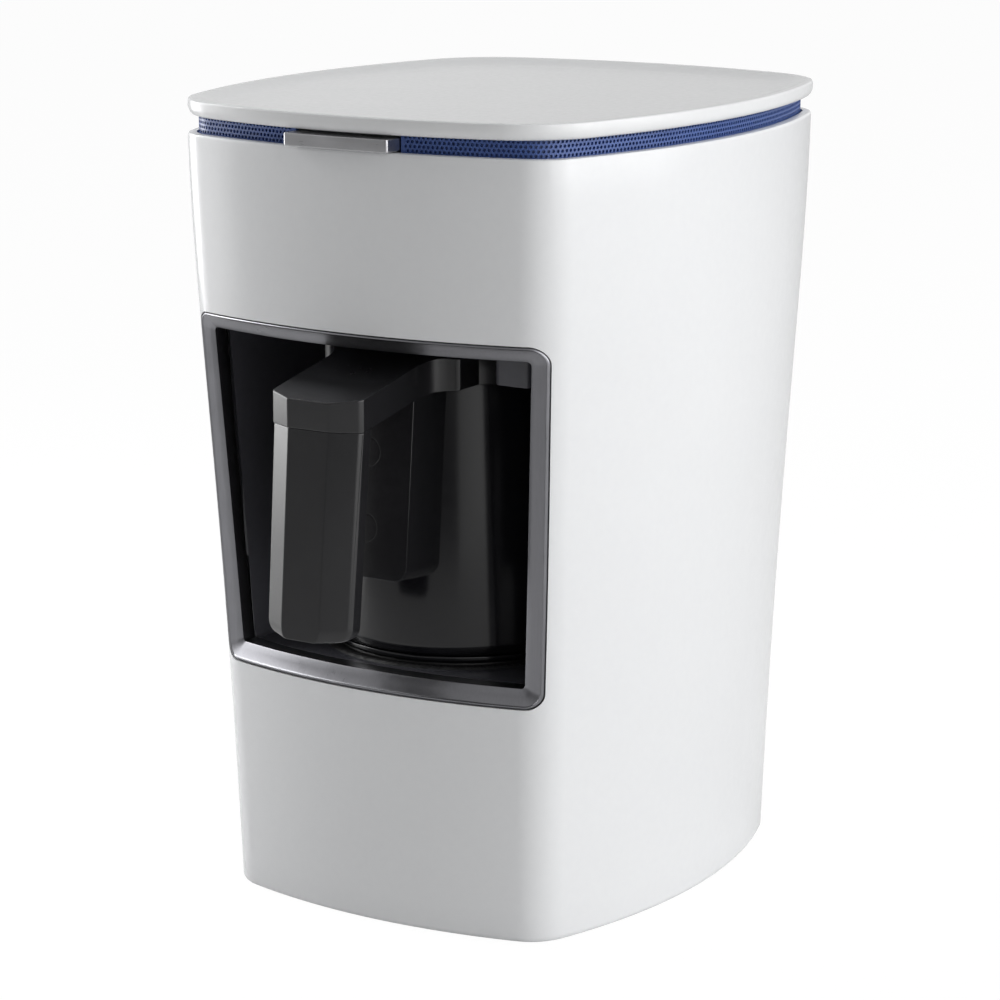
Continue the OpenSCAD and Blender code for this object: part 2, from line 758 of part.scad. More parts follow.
module heater_leads() {
    color("firebrick") home() for (s = [-1, 1])
        wire(upright_way([s * ring_r * sin(lead_angle), pot_y + ring_r * cos(lead_angle), terminal_z],
            [s * 14, parts_y + 4.5, board_foot], -22, -46), 2.6);
}

module mains_leads() {
    color("saddlebrown") home() for (x = [-10, 10])
        wire(upright_way([x * 1.4, 50, plate_top + 14], [x * 2.2, parts_y + 4.5, board_foot],
            30, -34), 2.6);
}

module sensor_cable() {
    color("black") home() wire(upright_way([36, -55, roof_z + 4 + board_t], [10, parts_y + 3.5, board_head],
        24, 30), 2);
}

module key_cable() {
    deck = flange_z + flange_t;
    color("black") home() wire(upright_way([-10, wall_front - board_t / 2, deck - 18],
        [-10, parts_y + 3.5, board_head], -24, 22), 1);
}

// ---- pot ----

vessel_z0 = plate_z + 2;
rim_z = 163;
rim_r = pot_r - 6.6;
pot_wall = 2.1;
collar_z0 = 160.3;
collar_z1 = 169.5;
collar_r = 36.5;
mouth_r = 31.6;

function vessel_r(z) = mixed(pot_r, rim_r, (z - vessel_z0) / (rim_z - vessel_z0));

module pot_vessel() {
    side_z = vessel_z0 + 3;
    color("black") home() translate([0, pot_y, 0]) rotate_extrude($fn = 96) polygon([
        [0, vessel_z0], [pot_r - 2, vessel_z0], [pot_r - 0.8, vessel_z0 + 0.8],
        [vessel_r(side_z), side_z], [rim_r, rim_z], [rim_r - pot_wall, rim_z],
        [vessel_r(side_z + 2) - pot_wall, side_z + 2], [pot_r - pot_wall - 2.4, vessel_z0 + 2],
        [0, vessel_z0 + 2]]);
}

module pot_base() {
    base_r = pot_r - 1.2;
    color("black") home() translate([0, pot_y, plate_z]) rotate_extrude($fn = 96)
        polygon([[0, 0], [base_r - 0.8, 0], [base_r, 0.8], [base_r, 2], [0, 2]]);
}

module pot_collar() {
    seat_r = vessel_r(collar_z0) + 0.1;
    color("black") home() difference() {
        translate([0, pot_y, 0]) rotate_extrude($fn = 96) polygon([
            [seat_r, collar_z0], [collar_r, collar_z0], [collar_r, collar_z1 - 1.2],
            [collar_r - 1, collar_z1], [mouth_r + 0.8, collar_z1], [mouth_r, collar_z1 - 0.8],
            [mouth_r, rim_z], [seat_r, rim_z]]);
        for (s = [-1, 1]) translate([s * collar_r, pot_y, collar_z1 + 1.6]) rotate([0, s * 70, 0])
            cylinder(r = 4.6, h = 16, center = true);
    }
}

arm_x = 15.5;
arm_front = -105.2;
seam_z = 153.2;
nose_z = 160.6;         // top of the arm at its front end
facet = [8.5, 4.4];
nick = 0.8;
root_x = 23;
root_y = -63.8;
// The arm's underside in the YZ plane: level over the grip, then rising to the collar
underside = [[arm_front - 6, seam_z + 0.4], [-100, seam_z], [-62.4, collar_z0], [-40, collar_z0]];

// Right-hand half of the arm seen from above: faceted nose, straight side and a flare into
// the collar
arm_half = concat(
    [[arm_x - facet.x, arm_front], [arm_x - nick, arm_front + facet.y - nick / 2],
     [arm_x, arm_front + facet.y + nick]],
    [for (a = [0:15:90]) [root_x - (root_x - arm_x) * cos(a), root_y - 9.6 * (1 - sin(a))]],
    [[root_x + nick, root_y + nick], [root_x + nick, pot_y]]);

module arm_plan() {
    last = len(arm_half) - 1;
    polygon(concat(arm_half, [for (i = [last:-1:0]) [-arm_half[i].x, arm_half[i].y]]));
}

module handle_arm() {
    top = [[-40, collar_z1], [-66, collar_z1], [arm_front - 6, nose_z]];
    color("black") home() difference() {
        intersection() {
            translate([0, 0, 140]) linear_extrude(40) arm_plan();
            wall_x(30) polygon(concat(underside, top));
        }
        translate([0, pot_y, 100]) cylinder(r = collar_r + 0.05, h = 100, $fn = 96);
    }
}

grip_z0 = 93.5;
grip_t = 11;
grip_step = 0.2;        // the grip's front face stands this far behind the arm's
function grip_y(z) = arm_front + grip_step - (seam_z - z) * tan(leg_lean);
handle_front = grip_y(grip_z0);
leg_z0 = 105.5;
leg_x = 15;
leg_y = -79;

// Everything below the arm's underside
module under_arm() {
    wall_x(30) polygon(concat(underside, [[-40, 60], [arm_front - 6, 60]]));
}

module handle_grip() {
    r = 4;
    plan = [[arm_x - facet.x, 0], [arm_x - nick, facet.y - nick / 2], [arm_x, facet.y + nick],
        [arm_x, grip_t - 2], [arm_x - 2, grip_t]];
    all_round = concat(plan, [for (i = [len(plan) - 1:-1:0]) [-plan[i].x, plan[i].y]]);
    function grip_ring(z) =
        let (h = z - grip_z0, round_off = h < r ? r - sqrt(r * r - (r - h) * (r - h)) : 0,
             k = (mixed(14.4, 15.3, h / 60) - round_off) / arm_x)
        [for (p = all_round) [p.x * k, p.y + grip_y(z), z]];
    color("black") home() intersection() {
        loft([for (h = [0, 0.3, 0.8, 1.6, 2.6, r, 70]) grip_ring(grip_z0 + h)]);
        under_arm();
    }
}

bracket_x = 6;
bracket_z = [112, 150];
bracket_y = -70;
screw_seat_y = -72;
handle_screw_z = [120, 142];
screw_well_r = 4.1;

module pot_cone(grow) {
    translate([0, pot_y, vessel_z0 + 3])
        cylinder(r1 = vessel_r(vessel_z0 + 3) + grow, r2 = rim_r + grow,
            h = rim_z - vessel_z0 - 3, $fn = 96);
}

// The leaning slab that the rear leg and its screw caps are cut from
module leg_slab() {
    r = 4.5;
    translate([0, leg_y, leg_z0]) rotate([-leg_lean, 0, 0]) wall_y(0, 30) hull() {
        for (s = [-1, 1]) translate([s * (leg_x - r), r]) circle(r = r, $fn = 32);
        translate([-leg_x, 40]) square([2 * leg_x, 20]);
    }
}

module handle_leg() {
    color("black") home() difference() {
        intersection() {
            leg_slab();
            under_arm();
            translate([-30, -100, 60]) cube([60, 50, collar_z0 - fit_gap - 60]);
        }
        pot_cone(0.1);
        translate([-bracket_x - 0.1, bracket_y - 0.1, bracket_z[0] - 0.1])
            cube([2 * bracket_x + 0.2, 30, bracket_z[1] - bracket_z[0] + 0.2]);
        for (z = handle_screw_z) translate([0, 0, z]) {
            rod_y(2.2, -90, -60, 32);
            rod_y(screw_well_r, -90, screw_seat_y, 32);
        }
    }
}

// Caps that close the two screw wells flush with the leg's face
module leg_caps() {
    color("black") home() intersection() {
        leg_slab();
        for (z = handle_screw_z) translate([0, 0, z])
            rod_y(screw_well_r - 0.05, -90, screw_seat_y - head_h - fit_gap, 32);
    }
}

module handle_bracket() {
    color("silver") home() difference() {
        translate([-bracket_x, bracket_y, bracket_z[0]])
            cube([2 * bracket_x, 12, bracket_z[1] - bracket_z[0]]);
        pot_cone(0.02);
        for (z = handle_screw_z) translate([0, 0, z]) rod_y(1.8, -80, -50, 32);
    }
}

module handle_screws() {
    color("dimgray") home() for (z = handle_screw_z) translate([0, screw_seat_y, z])
        rotate([-90, 0, 0]) screw(6.4, 1.75, 3.9);
}

outer_shell();
base_plate();
rubber_feet();
base_screws();
liner_screws();
top_tray();
tray_screws();
vent_band();
top_cover();
front_frame();
niche_liner();
heater_plate();
heating_element();
heater_seal();
heater_pan();
heater_screws();
insulation_pad();
temperature_sensor();
thermal_cutout();
sensor_housing();
sensor_lens();
sensor_board();
power_board();
transformer();
relay();
capacitors();
board_connectors();
board_screws();
terminal_block();
cord_gland();
gland_nut();
key_bracket();
key_board();
push_switch();
buzzer();
key_screws();
heater_leads();
mains_leads();
sensor_cable();
key_cable();
start_button();
key_slider();
switch_plunger();
pot_vessel();
pot_base();
pot_collar();
handle_arm();
handle_grip();
handle_leg();
leg_caps();
handle_bracket();
handle_screws();
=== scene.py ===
# %% [markdown]
# # An electric maker for one pot of coffee
#
# The machine is a gloss white housing that tapers towards the table. A blue perforated band
# and a rimmed cover sit on top of it, and a dark metal frame surrounds a glossy black niche
# with a handled pot inside.
#
# The CAD model comes first. It is the frame that everything else is placed by, so nothing has
# to be fitted by eye. Where a CAD piece is right, it stays and only gets a material. Where the
# eye would see its facets, a finer mesh of the same shape stands in for it.

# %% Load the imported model
import json
import math

import bmesh
import bpy
from mathutils import Matrix, Vector

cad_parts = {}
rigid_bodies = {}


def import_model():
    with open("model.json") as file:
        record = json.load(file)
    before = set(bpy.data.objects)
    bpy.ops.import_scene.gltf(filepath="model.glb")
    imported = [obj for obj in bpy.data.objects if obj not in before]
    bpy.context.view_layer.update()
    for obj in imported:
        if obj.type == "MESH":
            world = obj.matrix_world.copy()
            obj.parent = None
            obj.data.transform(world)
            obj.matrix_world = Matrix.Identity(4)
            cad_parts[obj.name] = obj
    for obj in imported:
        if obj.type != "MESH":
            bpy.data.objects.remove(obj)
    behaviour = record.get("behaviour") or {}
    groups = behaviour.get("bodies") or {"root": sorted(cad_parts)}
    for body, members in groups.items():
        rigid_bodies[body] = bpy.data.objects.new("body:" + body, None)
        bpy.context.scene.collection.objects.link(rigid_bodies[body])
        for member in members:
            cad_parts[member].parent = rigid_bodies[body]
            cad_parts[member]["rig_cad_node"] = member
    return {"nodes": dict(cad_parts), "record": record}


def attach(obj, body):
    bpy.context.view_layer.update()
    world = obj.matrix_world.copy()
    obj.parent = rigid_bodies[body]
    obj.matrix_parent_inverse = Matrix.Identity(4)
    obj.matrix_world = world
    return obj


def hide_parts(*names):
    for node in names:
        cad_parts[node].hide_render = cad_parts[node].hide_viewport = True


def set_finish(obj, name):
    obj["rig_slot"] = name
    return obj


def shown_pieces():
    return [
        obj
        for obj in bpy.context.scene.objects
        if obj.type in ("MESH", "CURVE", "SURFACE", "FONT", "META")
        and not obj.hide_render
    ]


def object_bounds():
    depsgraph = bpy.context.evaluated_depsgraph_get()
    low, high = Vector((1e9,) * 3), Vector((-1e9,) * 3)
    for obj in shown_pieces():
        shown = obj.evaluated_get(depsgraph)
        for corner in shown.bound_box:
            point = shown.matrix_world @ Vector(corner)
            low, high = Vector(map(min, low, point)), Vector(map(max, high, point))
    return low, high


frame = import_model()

cad_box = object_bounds()
slot_of = {row["node"]: row["material_slot"] for row in frame["record"]["subparts"]}
body_of = {node: body for body, nodes in frame["record"]["behaviour"]["bodies"].items()
           for node in nodes}

# %% [markdown]
# ## The sizes
#
# A maker works in millimetres and Blender in metres. Each shape below is drawn in millimetres,
# with the housing's own measures, and made a thousand times smaller when it is finished.

# %% Measures of the housing, in millimetres
HEIGHT = 240.0
SHELL_W, SHELL_D = 156.0, 176.2
SHELL_FOOT, SHELL_TOP = 0.4, HEIGHT - 9.8
WALL = 2.6
CORNER_R, SIDE_BOW, FRONT_BOW = 17.2, 11.2, 6.6
FOOT_SHARE = (0.87, 0.869)
TAPER_BOW, TAPER_SWELL = 0.28, 1.0
COVER_W, COVER_D, COVER_R = 157.2, 180.6, 29.4
COVER_BOWS = (8.4, 5.4)
COVER_Z = SHELL_TOP + 5.1
BAND_INSET = 3.3
MM = 0.001
# The frame's origin lies under the middle of the whole machine, handle included. The cover's
# back edge is the rearmost point, so it tells how far the housing's own middle is behind that.
HOME_Y = cad_box[1][1] / MM - COVER_D / 2
print("the housing is", SHELL_W, "x", SHELL_D, "mm, its middle at y =", round(HOME_Y, 2), "mm")


# %% A finished mesh becomes a piece that rides on its body
def to_metres(bm):
    """From millimetres round the housing's middle to metres round the frame's origin."""
    bmesh.ops.translate(bm, vec=(0, HOME_Y, 0), verts=bm.verts)
    bmesh.ops.scale(bm, vec=(MM, MM, MM), verts=bm.verts)


def piece(name, bm, node, sharp=30.0, merge=1e-6):
    bmesh.ops.remove_doubles(bm, verts=bm.verts, dist=merge)
    bmesh.ops.recalc_face_normals(bm, faces=bm.faces)
    mesh = bpy.data.meshes.new(name)
    bm.to_mesh(mesh)
    bm.free()
    mesh.shade_smooth()
    mesh.set_sharp_from_angle(angle=math.radians(sharp))
    made = bpy.data.objects.new(name, mesh)
    bpy.context.scene.collection.objects.link(made)
    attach(made, body_of[node])
    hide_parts(node)
    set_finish(made, slot_of[node])
    print(name, len(mesh.polygons), "faces")
    return made


# %% [markdown]
# ## The outline
#
# Seen from above, the housing is a rectangle whose four sides are shallow arcs and whose
# corners are round. Eight arcs that touch each other make it. In Blender a single vertex can be
# spun round a centre, and each step leaves an edge behind, so eight spins draw the outline with
# any number of points. Insetting the outline only changes the eight radii.

# %% The eight arcs of a bowed outline, and a ring of edges spun along arcs
SIDE_STEPS, CORNER_STEPS = 40, 16


def outline(w, d, r, bow_x, bow_y, inset):
    cx, cy = w / 2 - r - bow_x, d / 2 - r - bow_y
    rx, ry = ((half * half + bow * bow) / (2 * bow) for half, bow in ((cy, bow_x), (cx, bow_y)))
    side, front = math.asin(cy / rx), math.asin(cx / ry)
    mx, my, q = cx + bow_x - rx, cy + bow_y - ry, r - inset
    turn = math.pi / 2
    return [((0, -my), ry + q, -turn - front, -turn + front, SIDE_STEPS),
            ((cx, -cy), q, -turn + front, -side, CORNER_STEPS),
            ((mx, 0), rx + q, -side, side, SIDE_STEPS),
            ((cx, cy), q, side, turn - front, CORNER_STEPS),
            ((0, my), ry + q, turn - front, turn + front, SIDE_STEPS),
            ((-cx, cy), q, turn + front, 2 * turn - side, CORNER_STEPS),
            ((-mx, 0), rx + q, 2 * turn - side, 2 * turn + side, SIDE_STEPS),
            ((-cx, -cy), q, 2 * turn + side, 3 * turn - front, CORNER_STEPS)]


def spun_ring(bm, arcs, z):
    (cx, cy), r, start, _, _ = arcs[0]
    first = last = bm.verts.new((cx + r * math.cos(start), cy + r * math.sin(start), z))
    old = set(bm.edges)
    verts = [first]
    for (cx, cy), _, start, stop, steps in arcs:
        known = set(bm.verts)
        made = bmesh.ops.spin(bm, geom=[last], cent=(cx, cy, z), axis=(0, 0, 1),
                              angle=stop - start, steps=steps, use_duplicate=False,
                              use_merge=False, use_normal_flip=False)
        last = [v for v in made["geom_last"] if isinstance(v, bmesh.types.BMVert)][0]
        verts += [v for v in bm.verts if v not in known]
    bmesh.ops.weld_verts(bm, targetmap={last: first})
    verts = [v for v in verts if v.is_valid]
    return verts, [e for e in bm.edges if e not in old]


# %% The taper, and a skin over a stack of rings
def taper(z):
    h = z / SHELL_TOP
    g = h + h * (1 - h) * (TAPER_SWELL * h ** 3 - TAPER_BOW)
    return [share + (1 - share) * g for share in FOOT_SHARE]


def shell_ring(bm, z, inset):
    arcs = outline(SHELL_W, SHELL_D, CORNER_R, SIDE_BOW, FRONT_BOW, inset)
    verts, edges = spun_ring(bm, arcs, z)
    bmesh.ops.scale(bm, vec=(*taper(z), 1), verts=verts)
    return edges


def skin(bm, rings, closed=False):
    pairs = list(zip(rings, rings[1:]))
    if closed:
        pairs.append((rings[-1], rings[0]))
    for a, b in pairs:
        bmesh.ops.bridge_loops(bm, edges=a + b)
    if not closed:
        for edges in (rings[0], rings[-1]):
            bmesh.ops.contextual_create(bm, geom=edges)


# %% Where the front wall stands, at a place across it and a height
def front_y(x, z):
    sx, sy = taper(z)
    u = abs(x) / sx
    cx, cy = SHELL_W / 2 - CORNER_R - SIDE_BOW, SHELL_D / 2 - CORNER_R - FRONT_BOW
    ry = (cx * cx + FRONT_BOW * FRONT_BOW) / (2 * FRONT_BOW)
    rr = ry + CORNER_R
    if u < rr * cx / ry:
        return -sy * (cy + FRONT_BOW - ry + math.sqrt(rr * rr - u * u))
    return -sy * (cy + math.sqrt(max(0.0, CORNER_R * CORNER_R - (u - cx) ** 2)))


print("the front wall leans back by", round(front_y(0, 10) - front_y(0, SHELL_TOP), 2), "mm")

# %% [markdown]
# ## The housing
#
# The real one is moulded in one shot, with an even wall, a soft edge at its foot and an
# opening for the niche. Rings at many heights carry the slightly curved taper. They are
# bridged outside and inside, so the wall gets its thickness from the shape itself and not from
# a Solidify modifier, which would thicken the rounded edges too.

# %% The housing's wall
# Each pair is a height, from the foot or from the top, and how far the wall is drawn in there.
FOOT_EDGE = [(0, 1.3), (0.2, 0.75), (0.55, 0.37), (1.05, 0.1)]
TOP_EDGE = [(-0.6, 0.1), (-0.17, 0.33), (0, 0.8), (0, WALL)]
LEVELS = [SHELL_FOOT + 1.6, *range(10, 230, 10), SHELL_TOP - 1.2]
bm = bmesh.new()
stack = [(SHELL_FOOT + up, inset) for up, inset in FOOT_EDGE]
stack += [(z, 0) for z in LEVELS]
stack += [(SHELL_TOP + up, inset) for up, inset in TOP_EDGE]
stack += [(z, WALL) for z in reversed(LEVELS)] + [(SHELL_FOOT, WALL)]
skin(bm, [shell_ring(bm, z, inset) for z, inset in stack], closed=True)
to_metres(bm)
housing = piece("housing", bm, "outer_shell")


# %% [markdown]
# ### Openings
#
# The frame sits in a hole in the front wall, and the cord's gland in a round pad at the back.
# A Boolean cuts both into the fine mesh. It leaves long thin faces next to the cut, which would
# show as creases in a glossy wall. So the wall's corners near the hole get their normals from
# the formula of the wall, and the shading stays as smooth as before.

# %% A closed outline of the frame, and a Boolean that is applied at once
FRAME_FOOT_X, FRAME_TOP_X, FRAME_Z0, FRAME_Z1 = 55.5, 60.5, 71.9, 177.7
FRAME_BAR, FRAME_SILL, FRAME_HEAD, FRAME_R, FRAME_INNER_R = 5.8, 5.4, 4.5, 4.8, 1.2
FRAME_CORNER_STEPS, FRAME_SIDE_STEPS = 14, 36


def mixed(a, b, t):
    return a + (b - a) * t


def frame_ring(bm, share, grow=0.0):
    """A rounded trapezium in the XZ plane, between the frame's outer and inner edge."""
    foot = FRAME_FOOT_X - FRAME_BAR * share + grow
    top = FRAME_TOP_X - FRAME_BAR * share + grow
    z0, z1 = FRAME_Z0 + FRAME_SILL * share - grow, FRAME_Z1 - FRAME_HEAD * share + grow
    r = mixed(FRAME_R, FRAME_INNER_R, share) + grow
    slope = (top - foot) / (z1 - z0)
    low, high = z0 + r, z1 - r
    xl, xh = foot + slope * (low - z0) - r, foot + slope * (high - z0) - r
    corners = [((xl, low), -90), ((xh, high), 0), ((-xh, high), 90), ((-xl, low), 180)]
    old, ends = set(bm.edges), []
    for (x, z), degrees in corners:
        a = math.radians(degrees)
        start = bm.verts.new((x + r * math.cos(a), 0, z + r * math.sin(a)))
        made = bmesh.ops.spin(bm, geom=[start], cent=(x, 0, z), axis=(0, -1, 0),
                              angle=math.pi / 2, steps=FRAME_CORNER_STEPS, use_duplicate=False,
                              use_merge=False, use_normal_flip=False)
        ends.append((start, [v for v in made["geom_last"]
                             if isinstance(v, bmesh.types.BMVert)][0]))
    straight = [bm.edges.new((ends[i][1], ends[(i + 1) % 4][0])) for i in range(4)]
    bmesh.ops.subdivide_edges(bm, edges=straight, cuts=FRAME_SIDE_STEPS - 1)
    edges = [e for e in bm.edges if e not in old]
    return list({v for e in edges for v in e.verts}), edges


def apply_boolean(target, tool_bm, operation):
    bmesh.ops.recalc_face_normals(tool_bm, faces=tool_bm.faces)
    mesh = bpy.data.meshes.new("tool")
    tool_bm.to_mesh(mesh)
    tool_bm.free()
    tool = bpy.data.objects.new("tool", mesh)
    bpy.context.scene.collection.objects.link(tool)
    modifier = target.modifiers.new("cut", "BOOLEAN")
    modifier.object, modifier.operation, modifier.solver = tool, operation, "EXACT"
    graph = bpy.context.evaluated_depsgraph_get()
    result = bpy.data.meshes.new_from_object(target.evaluated_get(graph))
    target.modifiers.remove(modifier)
    old, target.data = target.data, result
    bpy.data.meshes.remove(old)
    bpy.data.objects.remove(tool)
    bpy.data.meshes.remove(mesh)


# %% Cut the niche's opening
FRAME_GAP, CUT_FROM_Y, CUT_DEPTH = 0.35, -110, 70
tool = bmesh.new()
_, front = frame_ring(tool, 0, grow=FRAME_GAP)
bmesh.ops.translate(tool, vec=(0, CUT_FROM_Y, 0), verts=tool.verts)
bmesh.ops.contextual_create(tool, geom=front)
solid = bmesh.ops.extrude_face_region(tool, geom=list(tool.faces))
bmesh.ops.translate(tool, vec=(0, CUT_DEPTH, 0),
                    verts=[v for v in solid["geom"] if isinstance(v, bmesh.types.BMVert)])
to_metres(tool)
apply_boolean(housing, tool, "DIFFERENCE")

# %% Add the gland's pad and its hole
GLAND_Z, GLAND_FACE_Y, PAD_R, PAD_DEPTH = 24.0, 78.0, 11.0, 4
GLAND_HOLE_R, HOLE_FROM_Y, HOLE_TO_Y = 7.2, 60, 95
for radius, y0, y1, operation in ((PAD_R, GLAND_FACE_Y - PAD_DEPTH, GLAND_FACE_Y, "UNION"),
                                  (GLAND_HOLE_R, HOLE_FROM_Y, HOLE_TO_Y, "DIFFERENCE")):
    tool = bmesh.new()
    bmesh.ops.create_cone(tool, cap_ends=True, segments=96, radius1=radius, radius2=radius,
                          depth=y1 - y0, matrix=Matrix.Translation((0, (y0 + y1) / 2, GLAND_Z))
                          @ Matrix.Rotation(math.pi / 2, 4, "X"))
    to_metres(tool)
    apply_boolean(housing, tool, operation)
mesh = housing.data
mesh.shade_smooth()
mesh.set_sharp_from_angle(angle=math.radians(30))
print("housing after the cuts:", len(mesh.polygons), "faces")


# %% Smooth normals round the opening, from the wall's own formula
def front_normal(x, z, step=0.05):
    dx = (front_y(x + step, z) - front_y(x - step, z)) / (2 * step)
    dz = (front_y(x, z + step) - front_y(x, z - step)) / (2 * step)
    return Vector((dx, -1, dz)).normalized()


# Only the front wall counts, away from its foot, top and corners, and only what lies on it.
NEAR_X, NEAR_Y, NEAR_Z, ON_WALL = 68, -40, (12, 218), 0.06
normals = [Vector((0, 0, 0))] * len(mesh.loops)
given = 0
for face in mesh.polygons:
    places = [mesh.vertices[v].co / MM - Vector((0, HOME_Y, 0)) for v in face.vertices]
    if all(p.y < NEAR_Y and NEAR_Z[0] < p.z < NEAR_Z[1] and abs(p.x) < NEAR_X
           and abs(p.y - front_y(p.x, p.z)) < ON_WALL for p in places):
        for loop, p in zip(face.loop_indices, places):
            normals[loop] = front_normal(p.x, p.z)
            given += 1
mesh.normals_split_custom_set(normals)
print(given, "corners of faces follow the wall's formula")

# %% [markdown]
# ## The cover
#
# The cover is a shallow moulded lid. Its side stands almost upright, its rim is a narrow
# rounded ridge, and inside the rim the top dips by two millimetres into a flat middle. The
# same stack of rings makes it, with a few close together wherever the surface turns.

# %% The cover's skin
# Each pair is a height above the cover's lower edge, and how far the ring is drawn in.
COVER_STACK = [(0, 1.6), (0.2, 1.1), (0.9, 0.5), (1.8, 0.1), (2.6, 0), (4.1, 0), (4.4, 0.06),
               (4.6, 0.24), (4.68, 0.55), (4.7, 1.1), (4.69, 1.7), (4.64, 2.1), (4.5, 2.6),
               (4.1, 3.9), (3.5, 6.2), (3.0, 8.6), (2.76, 10.6), (2.7, 12.4)]
bm = bmesh.new()
rings = [spun_ring(bm, outline(COVER_W, COVER_D, COVER_R, *COVER_BOWS, inset), COVER_Z + up)[1]
         for up, inset in COVER_STACK]
skin(bm, rings)
to_metres(bm)
piece("cover", bm, "top_cover", sharp=50)

# %% [markdown]
# ## The perforated band
#
# Behind the gap between housing and cover runs a strip of perforated sheet. Its round holes
# are 1 mm wide and 1.4 mm from centre to centre, and each row is shifted by half a step. A
# texture could fake them, but light catches the real edge of each hole, so they are cut into
# the mesh.
#
# The strip is made flat and bent round the housing at the end. It starts as a grid with one
# cell a hole. Sliding each row by half a cell staggers them. Every cell then gets a smaller
# face inside it, which is split into eight sides, pulled to a circle and pushed in. Each pushed-in
# face and the walls round it are given a painted shade.

# %% A flat strip, one cell for each hole
PITCH, ROW, ROWS, HOLED_ROWS = 1.4, 1.3, 8, 5
HOLE_R, HOLE_DEPTH, HOLE_INSET, SHEET_T = 0.5, 0.8, 0.2, 1.2
BAND_Z0 = COVER_Z - ROW * ROWS
KEY_GAP = 17.9          # half the width that the band leaves open for the key
band_arcs = outline(SHELL_W, SHELL_D, CORNER_R, SIDE_BOW, FRONT_BOW, BAND_INSET)
around = sum(r * (stop - start) for _, r, start, stop, _ in band_arcs)
front_r, front_half = band_arcs[0][1], band_arcs[0][3] + math.pi / 2
middle = front_r * front_half
gap = front_r * math.asin(KEY_GAP / front_r / taper(COVER_Z)[0])
begin, end = middle + gap, middle - gap + around
columns = math.ceil((end - begin) / PITCH) + ROWS
bm = bmesh.new()
bmesh.ops.create_grid(bm, x_segments=columns, y_segments=ROWS, size=0.5)
upright = (Matrix.Rotation(math.pi / 2, 4, "X")
           @ Matrix.Diagonal((columns * PITCH, ROWS * ROW, 1, 1)))
lean = Matrix.Identity(4)
lean[0][2] = PITCH / 2 / ROW
placed = Matrix.Translation(((begin + end) / 2, 0, BAND_Z0 + ROW * ROWS / 2))
bmesh.ops.transform(bm, matrix=placed @ lean @ upright, verts=bm.verts)
for s, way in ((begin, -1), (end, 1)):
    bmesh.ops.bisect_plane(bm, geom=[*bm.verts, *bm.edges, *bm.faces], plane_co=(s, 0, 0),
                           plane_no=(way, 0, 0), clear_outer=True)
print(columns, "columns of cells over", round(end - begin, 1), "mm")

# %% Give it a thickness and punch the holes
bmesh.ops.solidify(bm, geom=list(bm.faces), thickness=SHEET_T)
NEARLY = 0.01
front_side = min(v.co.y for v in bm.verts)
cells = [f for f in bm.faces
         if abs(f.calc_center_median().y - front_side) < NEARLY
         and f.calc_area() > (1 - NEARLY) * PITCH * ROW
         and f.calc_center_median().z > COVER_Z - ROW * HOLED_ROWS]
bmesh.ops.translate(bm, vec=(0, -front_side, 0), verts=bm.verts)
bmesh.ops.inset_individual(bm, faces=cells, thickness=HOLE_INSET, use_even_offset=True)
bmesh.ops.bisect_edges(bm, edges=list({e for f in cells for e in f.edges}), cuts=1)
for cell in cells:
    centre = cell.calc_center_median()
    for v in cell.verts:
        v.co = centre + (v.co - centre).normalized() * HOLE_R
pushed = bmesh.ops.extrude_discrete_faces(bm, faces=cells)["faces"]
# each pushed-in hole and the walls round it take the second slot, which holds a painted shade
for hole in pushed:
    hole.material_index = 1
    for e in hole.edges:
        for wall in e.link_faces:
            wall.material_index = 1
bmesh.ops.translate(bm, vec=(0, HOLE_DEPTH, 0), verts=list({v for f in pushed for v in f.verts}))
print(len(pushed), "holes")


# %% Bend it round the housing
def round_the_housing(s, depth, z):
    s %= around
    for (cx, cy), r, start, stop, _ in band_arcs:
        length = r * (stop - start)
        if s <= length:
            break
        s -= length
    a = start + s / r
    sx, sy = taper(z)
    return Vector(((cx + (r - depth) * math.cos(a)) * sx, (cy + (r - depth) * math.sin(a)) * sy, z))


for v in bm.verts:
    v.co = round_the_housing(v.co.x, v.co.y, v.co.z)
to_metres(bm)
band = piece("perforated_band", bm, "vent_band", sharp=40)

# %% [markdown]
# ## The frame
#
# The frame is a die-cast ring that follows the bow and the lean of the front wall. A narrow
# bevel catches the light at its outer edge. Inside it, a broad chamfer slopes back to the niche.
# Its outer corners are round and its inner ones nearly square, so the chamfer fans out at each
# corner. The rings lie between the outer and the inner edge, and each is pressed
# on to the front wall by setting its depth behind it.

# %% The frame's rings, from the outer edge to the inner one
# Each pair is a place between the outer and the inner edge, and a depth behind the front wall.
FRAME_PROFILE = [(0, 8), (0, 0.5), (0.025, 0.2), (0.07, 0.02), (0.11, 0.02), (0.15, 0.42),
                 (0.19, 0.62), (0.6, 1.82), (0.93, 2.8), (0.985, 3.05), (1, 3.4), (1, 8)]
bm = bmesh.new()
rings = []
for share, depth in FRAME_PROFILE:
    verts, edges = frame_ring(bm, share)
    for v in verts:
        v.co.y = front_y(v.co.x, v.co.z) + depth
    rings.append(edges)
skin(bm, rings, closed=True)
to_metres(bm)
piece("front_frame_fine", bm, "front_frame", sharp=24)


# %% [markdown]
# ## Pieces whose CAD shape is right
#
# The handle, the key, the niche and the small fittings have the right shape already, but real
# edges are never perfectly sharp. A copy of each is merged into one surface. Where a bevel width
# is given, its flat faces are joined and its edges get a small bevel that catches a line of
# light. A Weighted Normal modifier lets the large faces keep their own direction, so they stay
# flat to the eye and only the bevels look round.

# %% A copy of a CAD node with soft edges
FLAT_ANGLE, EDGE_STEPS = 0.4, 2


